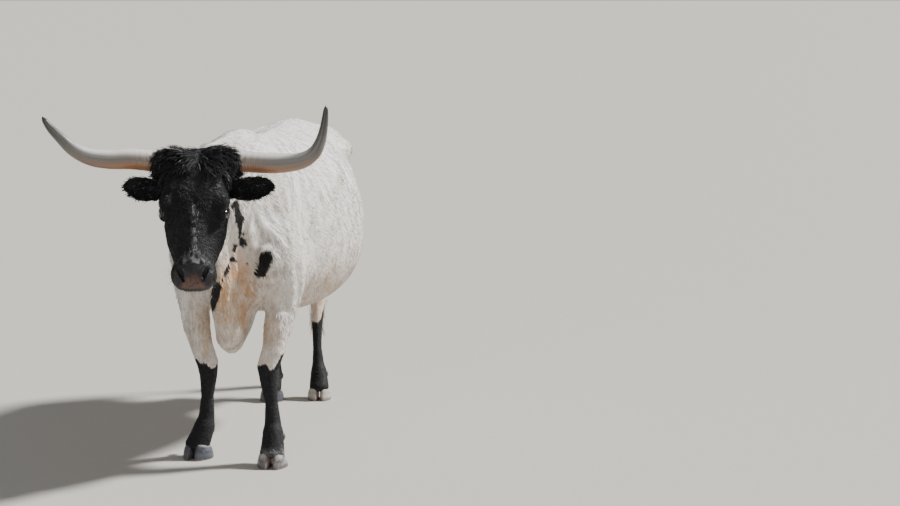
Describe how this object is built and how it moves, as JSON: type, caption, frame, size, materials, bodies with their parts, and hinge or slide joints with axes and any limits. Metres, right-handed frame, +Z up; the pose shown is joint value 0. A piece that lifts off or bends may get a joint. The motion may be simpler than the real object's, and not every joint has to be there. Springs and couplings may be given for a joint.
{
  "type": "texas longhorn steer",
  "caption": "Life-size white longhorn steer with a black head and black lower legs, standing square with its head turned, wide upswept horns and spread ears.",
  "frame": {"origin": "on the floor, under the middle of the animal's bounding box", "axes": "-Y the way the body faces, +X the animal's left side, +Z up; the head is turned about ten degrees to its left"},
  "size_m": [1.0664, 2.3474, 1.5351],
  "materials": {
    "white_coat": "short smooth hair",
    "black_coat": "short glossy hair",
    "horn": "horn, satin, lighter above and dark at the tips",
    "hoof": "hoof horn, worn and matt",
    "eye": "wet, glossy"
  },
  "bodies": {
    "root": {"torso": "white_coat", "neck": "white_coat", "tail": "white_coat", "tail_switch": "white_coat", "head": "black_coat", "horn_left": "horn", "horn_right": "horn", "ear_left": "black_coat", "ear_right": "black_coat", "eye_left": "eye", "eye_right": "eye", "foreleg_left_upper": "white_coat", "foreleg_left_lower": "black_coat", "foreleg_right_upper": "white_coat", "foreleg_right_lower": "black_coat", "hindleg_left_upper": "white_coat", "hindleg_left_lower": "black_coat", "hindleg_right_upper": "white_coat", "hindleg_right_lower": "black_coat", "claw_fore_left_outer": "hoof", "claw_fore_left_inner": "hoof", "claw_fore_right_outer": "hoof", "claw_fore_right_inner": "hoof", "claw_hind_left_outer": "hoof", "claw_hind_left_inner": "hoof", "claw_hind_right_outer": "hoof", "claw_hind_right_inner": "hoof", "dewclaw_fore_left_outer": "hoof", "dewclaw_fore_left_inner": "hoof", "dewclaw_fore_right_outer": "hoof", "dewclaw_fore_right_inner": "hoof", "dewclaw_hind_left_outer": "hoof", "dewclaw_hind_left_inner": "hoof", "dewclaw_hind_right_outer": "hoof", "dewclaw_hind_right_inner": "hoof"}
  },
  "joints": []
}
